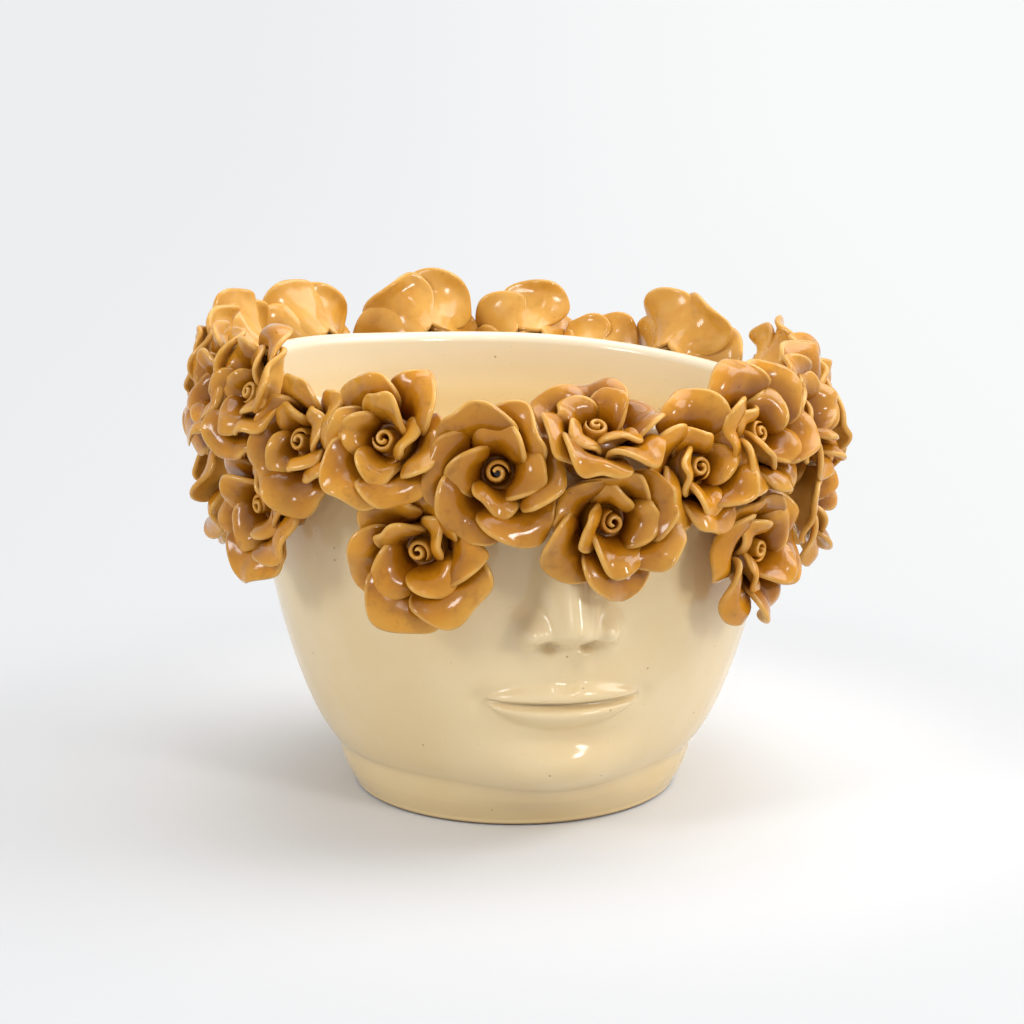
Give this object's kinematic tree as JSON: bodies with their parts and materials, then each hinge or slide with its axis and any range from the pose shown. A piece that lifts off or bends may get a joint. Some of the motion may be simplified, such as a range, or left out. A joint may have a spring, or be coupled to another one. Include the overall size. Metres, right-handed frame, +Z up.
{
  "type": "cachepot",
  "caption": "Glazed ceramic cachepot shaped as the lower half of a calm face, its rim crowned with a wreath of hand-rolled roses; holds a potted plant.",
  "frame": {"origin": "centre of the foot on the table, under the middle of the bounding box", "axes": "+Z up from the table, -Y where the face looks, +X to the face's left hand, which is the viewer's right"},
  "size_m": [0.2316, 0.2368, 0.1745],
  "materials": {
    "cream_glaze": "gloss",
    "honey_glaze": "gloss"
  },
  "bodies": {
    "root": {"pot_body": "cream_glaze", "rose_01_petals": "honey_glaze", "rose_01_heart": "honey_glaze", "rose_02_petals": "honey_glaze", "rose_02_heart": "honey_glaze", "rose_03_petals": "honey_glaze", "rose_03_heart": "honey_glaze", "rose_04_petals": "honey_glaze", "rose_04_heart": "honey_glaze", "rose_05_petals": "honey_glaze", "rose_05_heart": "honey_glaze", "rose_06_petals": "honey_glaze", "rose_06_heart": "honey_glaze", "rose_07_petals": "honey_glaze", "rose_07_heart": "honey_glaze", "rose_08_petals": "honey_glaze", "rose_08_heart": "honey_glaze", "rose_09_petals": "honey_glaze", "rose_09_heart": "honey_glaze", "rose_10_petals": "honey_glaze", "rose_10_heart": "honey_glaze", "rose_11_petals": "honey_glaze", "rose_11_heart": "honey_glaze", "rose_12_petals": "honey_glaze", "rose_12_heart": "honey_glaze", "rose_13_petals": "honey_glaze", "rose_13_heart": "honey_glaze", "rose_14_petals": "honey_glaze", "rose_14_heart": "honey_glaze", "rose_15_petals": "honey_glaze", "rose_15_heart": "honey_glaze", "rose_16_petals": "honey_glaze", "rose_16_heart": "honey_glaze", "rose_17_petals": "honey_glaze", "rose_17_heart": "honey_glaze", "rose_18_petals": "honey_glaze", "rose_18_heart": "honey_glaze", "rose_19_petals": "honey_glaze", "rose_19_heart": "honey_glaze", "rose_20_petals": "honey_glaze", "rose_20_heart": "honey_glaze", "rose_21_petals": "honey_glaze", "rose_21_heart": "honey_glaze", "rose_22_petals": "honey_glaze", "rose_22_heart": "honey_glaze", "rose_23_petals": "honey_glaze", "rose_23_heart": "honey_glaze", "rose_24_petals": "honey_glaze", "rose_24_heart": "honey_glaze", "rose_25_petals": "honey_glaze", "rose_25_heart": "honey_glaze", "rose_26_petals": "honey_glaze", "rose_26_heart": "honey_glaze", "rose_27_petals": "honey_glaze", "rose_27_heart": "honey_glaze"}
  },
  "joints": []
}
